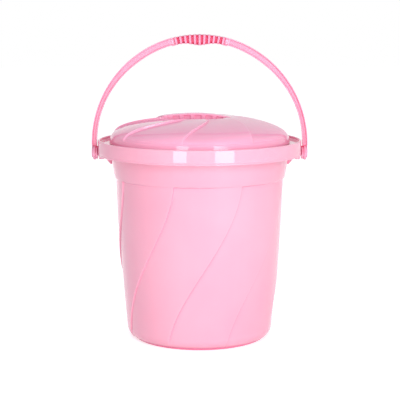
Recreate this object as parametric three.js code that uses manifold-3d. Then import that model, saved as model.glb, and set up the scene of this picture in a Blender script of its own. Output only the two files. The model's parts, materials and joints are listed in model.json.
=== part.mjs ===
// A moulded household bucket with a loose domed lid and a swinging carrying handle.
// Millimetres, +Z up, front towards -Y, origin under the middle of the foot ring.
// Angles round the bucket are degrees from the front, growing towards +X.
import * as THREE from "three";
import { mergeVertices } from "three/addons/utils/BufferGeometryUtils.js";
import Module from "manifold-3d";

// Bucket
const BUCKET_HEIGHT = 294; // foot to the top of the rim ridge
const RIM_RADIUS = 150; // outside of the hanging rim band
const BAND_HEIGHT = 21.5; // depth of the hanging rim band
const BAND_REACH = 17.5; // from the top of the neck out to the band's face
const RIDGE_WIDTH = 3.2; // raised ridge round the outside of the rim
const RIDGE_HEIGHT = 4; // ridge above the lid's ledge
const WALL = 2; // moulded wall, everywhere
const NECK_HEIGHT = 55; // neck line to the top of the ridge
const NECK_FLARE = 6; // how much wider the neck gets on its way up
const NECK_STEP = 2.5; // ledge where the body meets the neck
const BODY_BOTTOM_RADIUS = 106.3; // the body's slope carried down to the ground
const BODY_BOW = 2; // the body's side stands this far out of a straight line
const CORNER_REACH = 9; // round between side and base, measured across
const CORNER_RISE = 15; // and upwards
const FOOT_INSET = 0.6; // foot ring inside the end of that round
const FOOT_WIDTH = 6;
const FOOT_HEIGHT = 2.5;
const BASE_RISE = 1.5; // the base is pushed up in the middle

// Swirl panels of the body
const PANELS = 8;
const PANEL_RELIEF = 1.8; // step at each panel's edge
const SWIRL_BOTTOM = -25; // angle of the first line at the ground
const SWIRL_TURN = 53; // how far a line turns on its way up to the neck
const SWIRL_EASE = 0.8; // share of the turn that eases in and out
const LINE_SHARE = 0.02; // width of the step, as a share of a panel
const PANEL_COLUMNS = 8;
const BODY_ROWS = 9;

// Ears that carry the handle
const PIVOT_DROP = 19.5; // pivot axis under the top of the ridge
const EAR_HALF_WIDTH = 10.5;
const EAR_BACK = 8.5; // the plate's back face, from the band's face
const EAR_FRONT = 1.4; // the plate's front face, from the band's face
const WEB_THICKNESS = 2;
const WEB_SPREAD = 8.5; // webs stand this far either side of the pivot
const WEB_DROP = 5.5; // the webs' upper step, below the band's foot
const WEB_STEP = 9; // and their lower step, below that

// Lid
const LID_LIFT = 0.35; // clearance between the lid's bead and the ledge
const LID_PLAY = 1; // clearance between the lid's collar and the neck
const BEAD_HEIGHT = 9.8;
const BEAD_LAP = 2.5; // how far the bead laps over the ledge
const COLLAR_DEPTH = 11; // collar below the bead
const COLLAR_TAPER = 0.6;
const BEAD_ROUND = 2.2; // round from the bead's side into the dome
const DOME_RISE = 29.5; // crown above the bead
const DOME_FULLNESS = 0.56; // 0.5 would be a true ellipse, 1 a parabola
const PETAL_RELIEF = 3; // step at each petal's edge
const PETAL_START = -10.4; // angle of the first petal line at the bead
const PETAL_TURN = 30; // how far a petal line turns on its way in
const PETAL_INNER = 40; // the petals fade out inside this radius
const BAR_HALF_WIDTH = 9.5; // finger bar across the crown
const BAR_LEFT = -55;
const BAR_RIGHT = 46;
const BAR_CREST = 3.8; // bar above the crown of the dome
const BAR_TIP_STEP = 3.4; // free step at the bar's left tip
const WELL_CENTRE = -4; // finger wells in front of and behind the bar
const WELL_HALF_LENGTH = 42;
const WELL_REACH = 32;
const WELL_DEPTH = 17; // under the crown
const POCKETS = 5; // pockets between the bar's ribs
const POCKET_PITCH = 16;
const POCKET_WIDTH = 10;
const POCKET_DEPTH = 2.5;
const POCKET_CENTRE = -2.5;
const BAR_LIP = 2.6; // bar top above the pockets

// Handle
const ARC_RISE = 12.5; // middle of the handle's arc above the pivot
const ARC_REACH = 9.2; // outer edge of the strap outside the rim band
const ARC_CROWN = 1.8; // and this much further at the top
const STRAP_FOOT_THICKNESS = 7.5;
const STRAP_THICKNESS = 10.8;
const STRAP_WIDTH = 11;
const FLANGE = 1.5; // edge strips along the strap
const RECESS = 2.3; // the strap's side between them is sunk this much
const GRIP_RIBS = 11;
const RIB_PITCH = 7.2;
const RIB_WIDTH = 3.2;
const RIB_SLOPE = 0.4;
const GRIP_HEIGHT = 16.6; // over the palm swell
const GRIP_END_HEIGHT = 12;
const GRIP_WIDTH = 17;
const GRIP_END_WIDTH = 14.6;
const PALM_LENGTH = 17;
const GROOVE_SIDE = 3.6; // groove between ribs, at the sides
const GROOVE_EDGE = 0.9; // and at top and bottom
const COLLAR_LENGTH = 5;
const COLLAR_GROWTH = 1.4;
const COLLAR_SLOPE = 0.4; // degrees of the arc
const STRAP_STEPS = 12;
const EYE_RADIUS = 11;
const EYE_BOSS_RADIUS = 9.8;
const EYE_CLEARANCE = 0.4; // between the eye's boss and the band
const EYE_PLATE = 3.4;
const EYE_OUTER_BOSS = 2;
const OUTER_BOSS_RADIUS = 8;
const PIN_RADIUS = 4;
const PIN_CLEARANCE = 0.45;
const PIN_HEAD = 5.2;
const HEAD_CLEARANCE = 0.3; // between the pin's head and the ear
const HEAD_LENGTH = 4.6;

const PINK = 0xf7a8c4;
const DEG = Math.PI / 180;

const wasm = await Module();
wasm.setup();

// Turns a closed geometry into a solid for joining and cutting.
function solidOf(geometry) {
  const bare = new THREE.BufferGeometry();
  const source = geometry.index ? geometry.toNonIndexed() : geometry;
  bare.setAttribute("position", source.getAttribute("position"));
  const merged = mergeVertices(bare, 1e-4);
  return new wasm.Manifold(
    new wasm.Mesh({
      numProp: 3,
      vertProperties: merged.attributes.position.array,
      triVerts: new Uint32Array(merged.index.array),
    }),
  );
}

// Turns a solid back into a named mesh with its own finish.
function meshOf(name, solid, finish) {
  const cut = solid.getMesh();
  const points = [];
  for (let i = 0; i < cut.numVert; i++) {
    points.push(...cut.vertProperties.subarray(i * cut.numProp, i * cut.numProp + 3));
  }
  const geometry = new THREE.BufferGeometry();
  geometry.setAttribute("position", new THREE.Float32BufferAttribute(points, 3));
  geometry.setIndex(new THREE.BufferAttribute(new Uint32Array(cut.triVerts), 1));
  geometry.computeVertexNormals();
  const mesh = new THREE.Mesh(geometry, new THREE.MeshStandardMaterial(finish));
  mesh.name = name;
  return mesh;
}

// Joins rings of equal length into one closed skin. A ring of one point is an end on the axis.
function skin(rings) {
  const points = [];
  const starts = rings.map((ring) => {
    const start = points.length / 3;
    ring.forEach((point) => points.push(...point));
    return start;
  });
  const faces = [];
  for (let i = 0; i + 1 < rings.length; i++) {
    const [low, high] = [rings[i], rings[i + 1]];
    const count = Math.max(low.length, high.length);
    for (let j = 0; j < count; j++) {
      const k = (j + 1) % count;
      const [a, b] = [starts[i] + j, starts[i] + k];
      const [c, d] = [starts[i + 1] + k, starts[i + 1] + j];
      if (low.length === 1) {
        faces.push(starts[i], c, d);
      } else if (high.length === 1) {
        faces.push(a, b, starts[i + 1]);
      } else {
        faces.push(a, b, c, a, c, d);
      }
    }
  }
  const geometry = new THREE.BufferGeometry();
  geometry.setAttribute("position", new THREE.Float32BufferAttribute(points, 3));
  geometry.setIndex(faces);
  return geometry;
}

const mix = (a, b, share) => a + (b - a) * share;
const clamp01 = (value) => Math.min(1, Math.max(0, value));
const ease = (value) => clamp01(value) ** 2 * (3 - 2 * clamp01(value));

// Shares of a panel at which its columns stand: 0 is the foot of the step, 1 the raised edge.
const columnShares = Array.from({ length: PANEL_COLUMNS }, (_, i) => i / (PANEL_COLUMNS - 1));
const panelAngle = 360 / PANELS;

// One ring of a panelled form. The columns follow the lines, and place(share) gives radius and height.
function panelRing(twist, place) {
  const ring = [];
  for (let panel = 0; panel < PANELS; panel++) {
    for (const share of columnShares) {
      const across = mix(LINE_SHARE, 1, share) + panel;
      const angle = (twist + across * panelAngle) * DEG;
      const [radius, z] = place(share);
      ring.push([radius * Math.sin(angle), -radius * Math.cos(angle), z]);
    }
  }
  return ring;
}

// A panel is flat beside the step it starts from and lifts towards its raised edge.
const panelLift = (share) => share ** 1.6;

// Bucket form
const neckLine = BUCKET_HEIGHT - NECK_HEIGHT;
const neckTopRadius = RIM_RADIUS - BAND_REACH;
const neckFootRadius = neckTopRadius - NECK_FLARE;
const bodyTopRadius = neckFootRadius - NECK_STEP;
const ledgeTop = BUCKET_HEIGHT - RIDGE_HEIGHT;
const ledgeInnerRadius = neckTopRadius - WALL - 0.6;
const bandBottom = BUCKET_HEIGHT - BAND_HEIGHT;
const cornerTop = FOOT_HEIGHT + CORNER_RISE;

const bodyRadius = (z) => {
  const rise = z / neckLine;
  return mix(BODY_BOTTOM_RADIUS, bodyTopRadius, rise) + 4 * BODY_BOW * rise * (1 - rise);
};
const neckRadius = (z) => {
  const rise = clamp01((z - neckLine) / (ledgeTop - neckLine));
  return neckFootRadius + NECK_FLARE * (1 - (1 - rise) ** 1.6);
};
const swirlAngle = (z) => {
  const rise = clamp01(z / neckLine) ** 0.94;
  return SWIRL_BOTTOM + SWIRL_TURN * mix(rise, ease(rise), SWIRL_EASE);
};

// Rows of the bucket's section, from the axis under the base, up the outside and down the inside.
function bucketRows() {
  const rows = [];
  const add = (radius, z, relief = 0) => rows.push({ radius, z, relief });
  const cornerRadius = bodyRadius(cornerTop);
  const footRadius = cornerRadius - CORNER_REACH - FOOT_INSET;
  const footInner = footRadius - FOOT_WIDTH;
  const floor = FOOT_HEIGHT + WALL;
  add(0, FOOT_HEIGHT + BASE_RISE);
  add(footInner - 1, FOOT_HEIGHT);
  add(footInner, 0);
  add(footRadius, 0);
  add(footRadius + FOOT_INSET, FOOT_HEIGHT);
  for (const turn of [22, 45, 68]) {
    const inset = CORNER_REACH * (1 - Math.sin(turn * DEG));
    const lift = CORNER_RISE * (1 - Math.cos(turn * DEG));
    add(cornerRadius - inset, FOOT_HEIGHT + lift, turn / 90);
  }
  const bodyHeights = Array.from({ length: BODY_ROWS + 1 }, (_, i) =>
    mix(cornerTop, neckLine - 1, i / BODY_ROWS),
  );
  bodyHeights.forEach((z) => add(bodyRadius(z), z, 1));
  add(neckFootRadius, neckLine + 0.8);
  const neckHeights = [0.35, 0.7].map((rise) => mix(neckLine, ledgeTop - WALL, rise));
  neckHeights.forEach((z) => add(neckRadius(z), z));
  add(neckTopRadius, ledgeTop - WALL - 0.6);
  add(RIM_RADIUS - WALL - 1.5, ledgeTop - WALL);
  add(RIM_RADIUS - WALL, ledgeTop - WALL - 1.5);
  add(RIM_RADIUS - WALL, bandBottom);
  add(RIM_RADIUS, bandBottom);
  add(RIM_RADIUS, BUCKET_HEIGHT - 2.2);
  add(RIM_RADIUS - 0.6, BUCKET_HEIGHT - 0.6);
  add(RIM_RADIUS - 1.8, BUCKET_HEIGHT);
  add(RIM_RADIUS - RIDGE_WIDTH + 0.5, BUCKET_HEIGHT - 0.4);
  add(RIM_RADIUS - RIDGE_WIDTH, ledgeTop + 0.8);
  add(RIM_RADIUS - RIDGE_WIDTH - 0.8, ledgeTop);
  add(ledgeInnerRadius + 1, ledgeTop - 0.4);
  add(ledgeInnerRadius, ledgeTop - 1.4);
  add(neckTopRadius - WALL, ledgeTop - WALL - 2.5);
  neckHeights.reverse().forEach((z) => add(neckRadius(z) - WALL, z));
  add(neckFootRadius - WALL, neckLine + 1.6);
  bodyHeights.reverse().forEach((z) => add(bodyRadius(z) - WALL, z, 1));
  for (const turn of [60, 30]) {
    const inset = (CORNER_REACH - WALL / 2) * (1 - Math.sin(turn * DEG));
    const lift = (CORNER_RISE - WALL) * (1 - Math.cos(turn * DEG));
    add(cornerRadius - WALL - inset, floor + lift, turn / 90);
  }
  add(footInner, floor);
  add(0, floor + BASE_RISE);
  return rows;
}

function bucketShell() {
  const rings = bucketRows().map(({ radius, z, relief }) => {
    if (radius === 0) {
      return [[0, 0, z]];
    }
    const place = (share) => [radius + PANEL_RELIEF * relief * panelLift(share), z];
    return panelRing(swirlAngle(z), place);
  });
  return solidOf(skin(rings));
}

// A flat outline in Y and Z, or X and Z, given thickness along the other axis.
function plateAcrossX(shape, from, to) {
  const geometry = new THREE.ExtrudeGeometry(shape, { depth: to - from, bevelEnabled: false });
  geometry.applyMatrix4(new THREE.Matrix4().makeBasis(
    new THREE.Vector3(0, 1, 0),
    new THREE.Vector3(0, 0, 1),
    new THREE.Vector3(1, 0, 0),
  ));
  return solidOf(geometry.translate(from, 0, 0));
}
function plateAcrossY(shape, from, to) {
  const geometry = new THREE.ExtrudeGeometry(shape, { depth: to - from, bevelEnabled: false });
  geometry.applyMatrix4(new THREE.Matrix4().makeBasis(
    new THREE.Vector3(1, 0, 0),
    new THREE.Vector3(0, 0, 1),
    new THREE.Vector3(0, -1, 0),
  ));
  return solidOf(geometry.translate(0, to, 0));
}
function outline(corners) {
  return new THREE.Shape(corners.map(([x, y]) => new THREE.Vector2(x, y)));
}
// A turned form on the X axis through the pivot, from pairs of radius and x.
function turned(profile, segments = 24) {
  const ring = ([radius, x]) => {
    if (radius === 0) {
      return [[x, 0, pivotZ]];
    }
    return Array.from({ length: segments }, (_, i) => {
      const angle = (i / segments) * 2 * Math.PI;
      return [x, radius * Math.cos(angle), pivotZ + radius * Math.sin(angle)];
    });
  };
  return solidOf(skin(profile.map(ring)));
}
const mirrored = (solid) => solid.mirror([1, 0, 0]);

const pivotZ = BUCKET_HEIGHT - PIVOT_DROP;

// One ear: a plate behind the band, and two webs that tie it back to the neck.
function ear() {
  const plate = new THREE.Shape();
  const top = ledgeTop - WALL + 0.8;
  plate.moveTo(-EAR_HALF_WIDTH, top);
  plate.lineTo(-EAR_HALF_WIDTH, pivotZ);
  plate.absarc(0, pivotZ, EAR_HALF_WIDTH, Math.PI, 2 * Math.PI, false);
  plate.lineTo(EAR_HALF_WIDTH, top);
  let solid = plateAcrossX(plate, RIM_RADIUS - EAR_BACK, RIM_RADIUS - EAR_FRONT);
  const back = RIM_RADIUS - EAR_BACK + 1;
  const stepZ = bandBottom - WEB_DROP;
  const webFoot = stepZ - WEB_STEP;
  const web = outline([
    [neckRadius(webFoot) - 1.1, webFoot],
    [neckRadius(webFoot) + 1.8, webFoot],
    [back - 3.5, stepZ],
    [back, stepZ],
    [back, top],
    [neckRadius(top) - 0.9, top],
  ]);
  for (const side of [-1, 1]) {
    const middle = side * WEB_SPREAD;
    const half = WEB_THICKNESS / 2;
    solid = solid.add(plateAcrossY(web, middle - half, middle + half));
  }
  return solid;
}

function bucket() {
  const right = ear();
  const reach = [RIM_RADIUS - EAR_BACK - 1, RIM_RADIUS + 1];
  const bore = PIN_RADIUS + PIN_CLEARANCE;
  const hole = turned([
    [0, reach[0]],
    [bore, reach[0]],
    [bore, reach[1]],
    [0, reach[1]],
  ]);
  return bucketShell()
    .add(right)
    .add(mirrored(right))
    .subtract(hole)
    .subtract(mirrored(hole));
}

// Lid form
const beadBottom = ledgeTop - 0.4 + LID_LIFT;
const domeEdgeZ = beadBottom + BEAD_HEIGHT;
const collarRadius = ledgeInnerRadius - LID_PLAY;
const beadRadius = neckTopRadius - WALL + BEAD_LAP;
const domeEdgeRadius = beadRadius - BEAD_ROUND;
const crownZ = domeEdgeZ + DOME_RISE;
const domeZ = (radius, inset = 0) => {
  const out = radius / (domeEdgeRadius - inset);
  return domeEdgeZ + (DOME_RISE - inset) * Math.max(0, 1 - out ** 2) ** DOME_FULLNESS;
};
const petalAngleAt = (radius) => {
  const inward = clamp01((domeEdgeRadius - radius) / (domeEdgeRadius - PETAL_INNER));
  return PETAL_START + PETAL_TURN * inward ** 1.35;
};
const petalWeight = (radius) => {
  const inner = ease((radius - PETAL_INNER) / 22);
  const outer = 1 - 0.75 * ease((radius - domeEdgeRadius + 14) / 14);
  return inner * outer;
};
const domeShares = [1, 0.985, 0.95, 0.89, 0.8, 0.7, 0.58, 0.46, 0.34, 0.2];

// The dome filled down to a floor, with its skin set in by an offset.
function domeSolid(inset, rimRows) {
  const petals = domeShares.map((share) => {
    const radius = share * (domeEdgeRadius - inset);
    return { radius, z: domeZ(radius, inset), relief: petalWeight(radius) };
  });
  const rows = [...rimRows, ...petals];
  const rings = rows.map(({ radius, z, relief = 0 }) => {
    const place = (share) => [radius, z + PETAL_RELIEF * relief * (panelLift(share) - 0.4)];
    return panelRing(petalAngleAt(radius), place);
  });
  const floor = [[0, 0, rows[0].z]];
  const crown = [[0, 0, crownZ - inset]];
  return solidOf(skin([floor, ...rings, crown]));
}

// Height of the finger bar's top along X.
const barTop = (x) => {
  const crest = crownZ + BAR_CREST;
  const middle = mix(BAR_LEFT, BAR_RIGHT, 0.48);
  const end = x < middle ? BAR_LEFT : BAR_RIGHT;
  const endZ = x < middle ? domeZ(BAR_LEFT) + BAR_TIP_STEP : domeZ(BAR_RIGHT) + 0.4;
  const away = (x - middle) / (end - middle);
  return mix(crest, endZ, away ** 2);
};
const floorZ = beadBottom - COLLAR_DEPTH;

function barSolid(inset, halfWidth, from) {
  const steps = 12;
  const corners = [
    [BAR_RIGHT - inset, from],
    [BAR_LEFT + inset, from],
  ].reverse();
  for (let i = steps; i >= 0; i--) {
    const x = mix(BAR_LEFT + inset, BAR_RIGHT - inset, i / steps);
    corners.push([x, barTop(x) - inset]);
  }
  return plateAcrossY(outline(corners), -halfWidth, halfWidth);
}

// A finger well beside the bar, grown by an amount all round.
function well(side, growth, inner, bottom) {
  const shape = new THREE.Shape();
  const start = side * inner;
  const reach = side * (BAR_HALF_WIDTH + WELL_REACH + growth);
  const half = WELL_HALF_LENGTH + growth;
  shape.moveTo(WELL_CENTRE - half, start);
  shape.bezierCurveTo(
    WELL_CENTRE - half, mix(start, reach, 0.72),
    WELL_CENTRE - half * 0.62, reach,
    WELL_CENTRE, reach,
  );
  shape.bezierCurveTo(
    WELL_CENTRE + half * 0.62, reach,
    WELL_CENTRE + half, mix(start, reach, 0.72),
    WELL_CENTRE + half, start,
  );
  const depth = crownZ + 20 - bottom;
  const geometry = new THREE.ExtrudeGeometry(shape, {
    depth, bevelEnabled: false, curveSegments: 8,
  });
  return solidOf(geometry.translate(0, 0, bottom));
}

function lid() {
  const outside = domeSolid(0, [
    { radius: collarRadius - COLLAR_TAPER, z: floorZ },
    { radius: collarRadius, z: beadBottom },
    { radius: beadRadius - 0.9, z: beadBottom },
    { radius: beadRadius, z: beadBottom + 1.2 },
    { radius: beadRadius, z: domeEdgeZ - BEAD_ROUND },
    { radius: beadRadius - BEAD_ROUND * 0.3, z: domeEdgeZ - BEAD_ROUND * 0.3 },
  ]);
  const inside = domeSolid(WALL, [
    { radius: collarRadius - COLLAR_TAPER - WALL, z: floorZ - 1 },
    { radius: collarRadius - WALL, z: beadBottom },
    { radius: domeEdgeRadius - WALL, z: beadBottom + WALL + 1 },
  ]);
  const wellFloor = crownZ - WELL_DEPTH;
  const wallBehindPocket = BAR_HALF_WIDTH - POCKET_DEPTH - 1.8;
  let solid = outside.add(barSolid(0, BAR_HALF_WIDTH, floorZ + 20));
  let hollow = inside.add(barSolid(WALL, wallBehindPocket, floorZ + 20));
  for (const side of [-1, 1]) {
    solid = solid.subtract(well(side, 0, BAR_HALF_WIDTH, wellFloor));
    hollow = hollow.subtract(well(side, WALL, wallBehindPocket, wellFloor - WALL));
  }
  for (let i = 0; i < POCKETS; i++) {
    const middle = POCKET_CENTRE + (i - (POCKETS - 1) / 2) * POCKET_PITCH;
    const [left, right] = [middle - POCKET_WIDTH / 2, middle + POCKET_WIDTH / 2];
    const pocket = outline([
      [left, wellFloor],
      [right, wellFloor],
      [right, barTop(right) - BAR_LIP],
      [left, barTop(left) - BAR_LIP],
    ]);
    const deep = BAR_HALF_WIDTH - POCKET_DEPTH;
    solid = solid
      .subtract(plateAcrossY(pocket, -BAR_HALF_WIDTH - 1, -deep))
      .subtract(plateAcrossY(pocket, deep, BAR_HALF_WIDTH + 1));
  }
  return solid.subtract(hollow);
}

// Handle form
const arcZ = pivotZ + ARC_RISE;
const fromFoot = (angle) => Math.min(angle, 180 - angle);
const strapEdge = (angle) => RIM_RADIUS + ARC_REACH + ARC_CROWN * ease(fromFoot(angle) / 90);
const strapThickness = (angle) =>
  mix(STRAP_FOOT_THICKNESS, STRAP_THICKNESS, ease((fromFoot(angle) - 12) / 48));
const strapRadius = (angle) => strapEdge(angle) - strapThickness(angle) / 2;

// Both sections have twelve corners in the same order: outwards and sideways from the middle.
function beamSection(thickness, width) {
  const [half, side] = [thickness / 2, width / 2];
  const [inner, sunk] = [half - FLANGE, side - RECESS];
  const quarter = [[half, side], [inner, side], [inner, sunk]];
  return mirrorQuarter(quarter);
}
function ovalSection(thickness, width) {
  const quarter = [17, 48, 76].map((turn) => [
    (thickness / 2) * Math.cos(turn * DEG) ** 0.7,
    (width / 2) * Math.sin(turn * DEG) ** 0.7,
  ]);
  return mirrorQuarter(quarter);
}
function mirrorQuarter(quarter) {
  const back = [...quarter].reverse();
  return [
    ...quarter,
    ...back.map(([out, side]) => [-out, side]),
    ...quarter.map(([out, side]) => [-out, -side]),
    ...back.map(([out, side]) => [out, -side]),
  ];
}

// A section standing on the arc at an angle from +X, its middle at a radius.
function arcRing(angle, radius, section) {
  const [c, s] = [Math.cos(angle * DEG), Math.sin(angle * DEG)];
  return section.map(([out, side]) => [(radius + out) * c, side, arcZ + (radius + out) * s]);
}

// The grip: ribs across the strap, with grooves between them, swelling to fit the palm.
function gripRings(outer, degreesPerMm) {
  const swell = (along) => Math.exp(-((along / PALM_LENGTH) ** 2));
  const ring = (along, sunk) => {
    const height = mix(GRIP_END_HEIGHT, GRIP_HEIGHT, swell(along));
    const width = mix(GRIP_END_WIDTH, GRIP_WIDTH, swell(along));
    const section = ovalSection(height - 2 * GROOVE_EDGE * sunk, width - 2 * GROOVE_SIDE * sunk);
    return arcRing(90 - along * degreesPerMm, outer - height / 2, section);
  };
  const rings = [];
  for (let i = 0; i < GRIP_RIBS; i++) {
    const middle = ((GRIP_RIBS - 1) / 2 - i) * RIB_PITCH;
    const half = RIB_WIDTH / 2;
    if (i > 0) {
      rings.push(ring(middle + half + RIB_SLOPE, 1));
    }
    rings.push(ring(middle + half, 0), ring(middle - half, 0));
    if (i < GRIP_RIBS - 1) {
      rings.push(ring(middle - half - RIB_SLOPE, 1));
    }
  }
  return rings;
}

function strap() {
  const outer = strapEdge(90); // the grip's top carries on the strap's edge
  const degreesPerMm = 1 / (outer * DEG);
  const gripHalf = ((GRIP_RIBS - 1) / 2) * RIB_PITCH + RIB_WIDTH / 2 + RIB_SLOPE;
  const gripEnd = 90 - gripHalf * degreesPerMm;
  const collarEnd = gripEnd - COLLAR_LENGTH * degreesPerMm;
  const beamRing = (angle, growth) => {
    const thickness = strapThickness(angle) + growth;
    const section = beamSection(thickness, STRAP_WIDTH + growth);
    return arcRing(angle, strapRadius(angle) - growth / 2, section);
  };
  const angles = Array.from({ length: STRAP_STEPS + 1 }, (_, i) =>
    (collarEnd - COLLAR_SLOPE) * (i / STRAP_STEPS),
  );
  const half = (turned) => [
    ...angles.map((angle) => beamRing(turned(angle), 0)),
    beamRing(turned(collarEnd), COLLAR_GROWTH),
    beamRing(turned(gripEnd), COLLAR_GROWTH),
  ];
  const foot = (sign) => ovalSection(STRAP_FOOT_THICKNESS - 2, STRAP_WIDTH - 3)
    .map(([out, side]) => [sign * (strapRadius(0) + out), side, pivotZ]);
  const tip = (sign) => [[sign * strapRadius(0), 0, pivotZ]];
  return solidOf(skin([
    tip(1),
    foot(1),
    ...half((angle) => angle),
    ...gripRings(outer, degreesPerMm),
    ...half((angle) => 180 - angle).reverse(),
    foot(-1),
    tip(-1),
  ]));
}

// Eye at the strap's foot, with the pin that snaps through the ear, on the +X side.
function eyeAndPin() {
  const face = RIM_RADIUS + EYE_CLEARANCE;
  const middle = strapRadius(0);
  const earBack = RIM_RADIUS - EAR_BACK;
  const head = earBack - HEAD_CLEARANCE;
  return turned([
    [0, head - HEAD_LENGTH],
    [PIN_HEAD - 2, head - HEAD_LENGTH],
    [PIN_HEAD, head - HEAD_LENGTH / 2],
    [PIN_HEAD, head],
    [PIN_RADIUS, head],
    [PIN_RADIUS, face],
    [EYE_BOSS_RADIUS, face],
    [EYE_BOSS_RADIUS, middle - EYE_PLATE / 2],
    [EYE_RADIUS, middle - EYE_PLATE / 2],
    [EYE_RADIUS, middle + EYE_PLATE / 2],
    [OUTER_BOSS_RADIUS, middle + EYE_PLATE / 2],
    [OUTER_BOSS_RADIUS - 0.6, middle + EYE_PLATE / 2 + EYE_OUTER_BOSS],
    [0, middle + EYE_PLATE / 2 + EYE_OUTER_BOSS],
  ]);
}

function bail() {
  const right = eyeAndPin();
  return strap().add(right).add(mirrored(right));
}

const finish = { color: PINK, roughness: 0.28, metalness: 0 };
const group = new THREE.Group();
group.name = "bucket_with_lid";
group.add(meshOf("bucket", bucket(), finish));
group.add(meshOf("lid", lid(), finish));
group.add(meshOf("bail", bail(), finish));
export default group;
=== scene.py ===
"""Looks of a moulded pink bucket with its loose domed lid and swinging carrying handle.

Sizes in the classes are millimetres in the part's own frame: +Z up, the front towards -Y and
the foot ring on the ground. Meshes are made in metres. Angles round the bucket are degrees
from the front, growing towards +X.
"""

from __future__ import annotations

import json
import logging
import math
from collections.abc import Callable, Sequence
from dataclasses import dataclass, field
from enum import Enum

import bpy
import numpy as np
from mathutils import Matrix, Vector

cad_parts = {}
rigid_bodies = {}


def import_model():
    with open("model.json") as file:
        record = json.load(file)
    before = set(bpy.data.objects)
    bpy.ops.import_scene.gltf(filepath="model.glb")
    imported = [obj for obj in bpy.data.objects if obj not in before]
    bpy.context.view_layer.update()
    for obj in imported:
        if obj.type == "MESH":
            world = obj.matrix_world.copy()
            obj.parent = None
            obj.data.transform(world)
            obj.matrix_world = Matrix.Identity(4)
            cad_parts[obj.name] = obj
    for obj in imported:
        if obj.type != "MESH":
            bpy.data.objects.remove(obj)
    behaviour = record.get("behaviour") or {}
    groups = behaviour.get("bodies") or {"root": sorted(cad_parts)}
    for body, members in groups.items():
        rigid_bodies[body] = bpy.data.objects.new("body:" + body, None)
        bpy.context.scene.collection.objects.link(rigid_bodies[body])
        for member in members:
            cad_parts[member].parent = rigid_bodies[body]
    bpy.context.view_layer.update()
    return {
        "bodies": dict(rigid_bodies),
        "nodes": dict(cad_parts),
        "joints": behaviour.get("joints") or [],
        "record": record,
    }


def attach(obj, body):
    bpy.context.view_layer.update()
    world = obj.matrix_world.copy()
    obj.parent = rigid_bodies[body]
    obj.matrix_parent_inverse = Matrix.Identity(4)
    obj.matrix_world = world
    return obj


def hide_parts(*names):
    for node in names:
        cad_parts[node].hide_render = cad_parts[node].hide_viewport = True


LOG = logging.getLogger("bucket")
MM = 0.001

Point = tuple[float, float, float]
Outline = Sequence[tuple[float, float]]
Ring = np.ndarray
Solid = bpy.types.Object
Socket = bpy.types.NodeSocket


class Work(Enum):
    """What a tool solid does to the piece it is used on."""

    JOIN = "UNION"
    CUT = "DIFFERENCE"


class Side(Enum):
    """The two sides of a mirrored feature."""

    PLUS = 1
    MINUS = -1


def mix(low: float, high: float, share: float) -> float:
    """Value a share of the way from low to high."""
    return low + (high - low) * share


def ease(value: float | np.ndarray) -> float | np.ndarray:
    """Smooth step from 0 to 1."""
    held = np.clip(value, 0.0, 1.0)
    return held * held * (3.0 - 2.0 * held)


@dataclass(frozen=True)
class Corner:
    """One corner of a section.

    Attributes:
        across: Distance from the axis.
        up: Height.
        round: Fillet radius at this corner.
        relief: How much of the panel relief this corner takes.
    """

    across: float
    up: float
    round: float = 0.0
    relief: float = 0.0


HOLD = 0.5  # a row this close to a round keeps the flat beside it flat to the eye
LONGEST_REACH = 0.46  # a round takes at most this share of the runs beside it
OVERSHOOT = 20.0  # how far a cutting tool reaches past what it cuts


def bend(start: np.ndarray, corner: np.ndarray, end: np.ndarray, steps: int) -> list[np.ndarray]:
    """Rounds a corner.

    Args:
        start: Where the round starts.
        corner: The corner that it is drawn towards.
        end: Where it ends.
        steps: Points of the round, less one.

    Returns:
        The points.
    """
    return [
        (1 - t) ** 2 * start + 2 * t * (1 - t) * corner + t * t * end
        for t in np.linspace(0, 1, steps + 1)
    ]


def rounded_section(corners: Sequence[Corner], longest: float, arc_steps: int = 4) -> np.ndarray:
    """Rounds the corners of an open section and splits its long runs.

    Args:
        corners: The section's corners in order.
        longest: Runs longer than this are split.
        arc_steps: Points per rounded corner, less one.

    Returns:
        Rows of across, up and relief.
    """
    points = np.array([(c.across, c.up, c.relief) for c in corners])
    path = [points[0]]
    in_round = [False]
    for i in range(1, len(corners) - 1):
        back, here, ahead = points[i - 1], points[i], points[i + 1]
        radius = corners[i].round
        runs = [np.linalg.norm((end - here)[:2]) for end in (back, ahead)]
        if radius <= 0 or min(runs) < 1e-6:
            path.append(here)
            in_round.append(False)
            continue
        units = [(end - here) / run for end, run in zip((back, ahead), runs)]
        cosine = float(np.clip(np.dot(units[0][:2], units[1][:2]), -1, 1))
        half = math.acos(cosine) / 2
        reach = min(radius / max(math.tan(half), 0.05), LONGEST_REACH * min(runs))
        path += bend(here + units[0] * reach, here, here + units[1] * reach, arc_steps)
        in_round += [True] * (arc_steps + 1)
    path.append(points[-1])
    in_round.append(False)
    rows = [path[0]]
    for i in range(1, len(path)):
        start, here = path[i - 1], path[i]
        run = float(np.linalg.norm((here - start)[:2]))
        cuts = list(np.linspace(0, 1, max(1, math.ceil(run / longest)) + 1)[1:])
        if run > 4 * HOLD:
            cuts += [HOLD / run] * in_round[i - 1] + [1 - HOLD / run] * in_round[i]
        rows.extend(start + (here - start) * cut for cut in sorted(cuts))
    return np.array(rows)


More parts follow.
